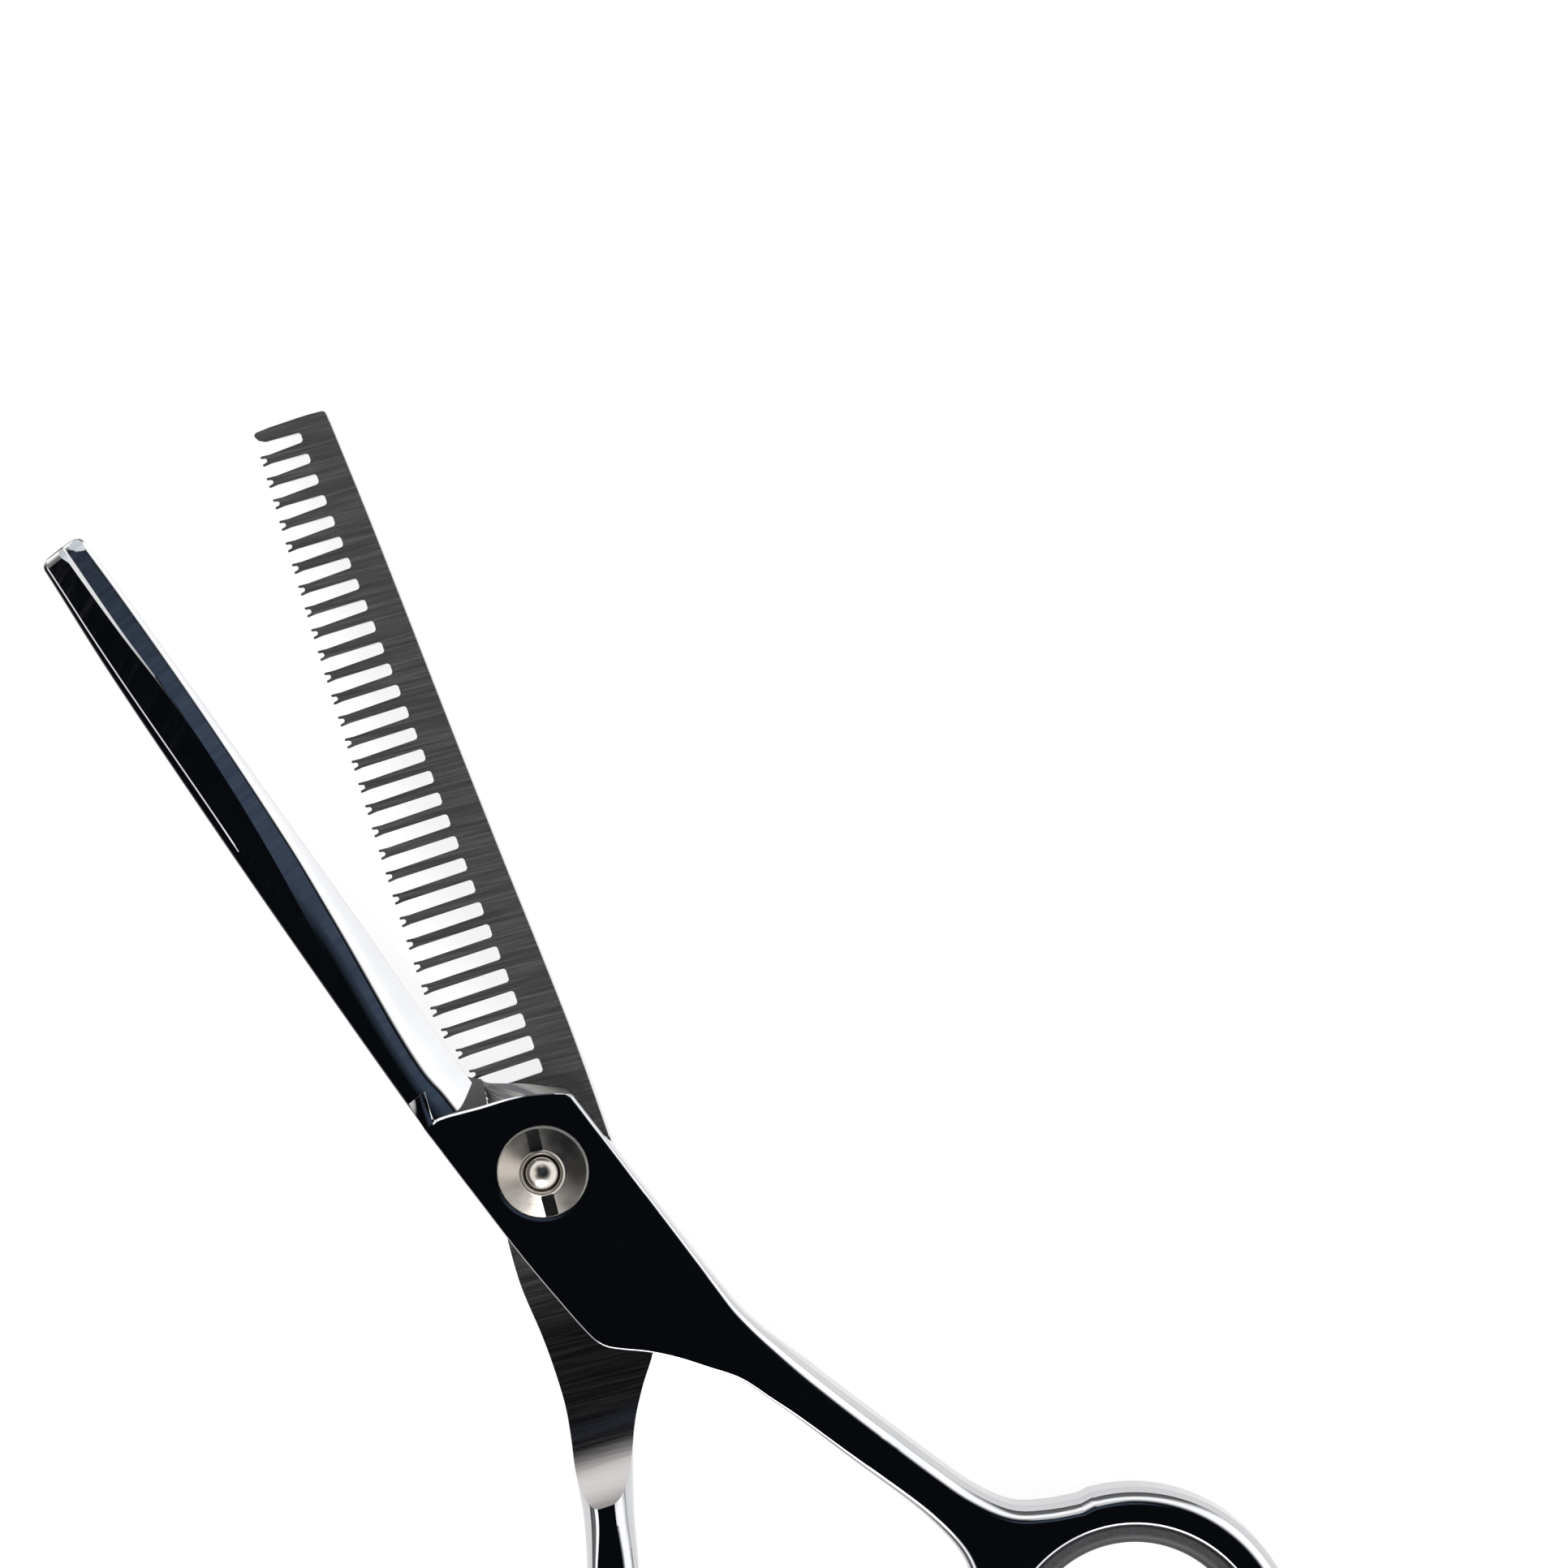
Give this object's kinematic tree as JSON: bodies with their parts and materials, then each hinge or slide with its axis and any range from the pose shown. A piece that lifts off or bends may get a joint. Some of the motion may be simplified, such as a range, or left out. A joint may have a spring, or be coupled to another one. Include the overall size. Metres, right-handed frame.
{
  "type": "thinning shears",
  "caption": "Hairdresser's thinning shears with one plain and one toothed blade on a slotted pivot screw, ring handles, rubber ring inserts, a bumper and a screw-in finger rest.",
  "frame": {"origin": "pivot axis, in the plane of the pivot stud's back face and of both handle rings' backs", "axes": "+Z along the pivot towards the tension nut; +Y midway between the blades, towards their tips"},
  "size_m": [0.0967, 0.1566, 0.0067],
  "materials": {
    "polished_steel": "mirror polished stainless, ride faces satin",
    "screw_steel": "turned, satin",
    "spring_steel": "satin",
    "nylon": "natural nylon",
    "black_rubber": "moulded, matt"
  },
  "bodies": {
    "thumb_side": {"toothed_blade_half": "polished_steel", "pivot_stud": "screw_steel", "glide_washer": "nylon", "nylon_washer": "nylon", "spring_washer": "spring_steel", "thumb_ring_insert": "black_rubber", "bumper": "black_rubber"},
    "finger_side": {"plain_blade_half": "polished_steel", "pivot_bush": "nylon", "finger_ring_insert": "black_rubber", "finger_rest": "polished_steel"},
    "nut": {"tension_nut": "screw_steel"}
  },
  "joints": [
    {"name": "pivot", "type": "hinge", "parent": "thumb_side", "child": "finger_side", "pos_m": [0, 0, 0], "axis": [0, 0, 1], "range_deg": [-17.2, 100.8]},
    {"name": "nut_turn", "type": "hinge", "parent": "thumb_side", "child": "nut", "pos_m": [0, 0, 0.0056], "axis": [0, 0, 1], "range_deg": [-90, 90]}
  ]
}
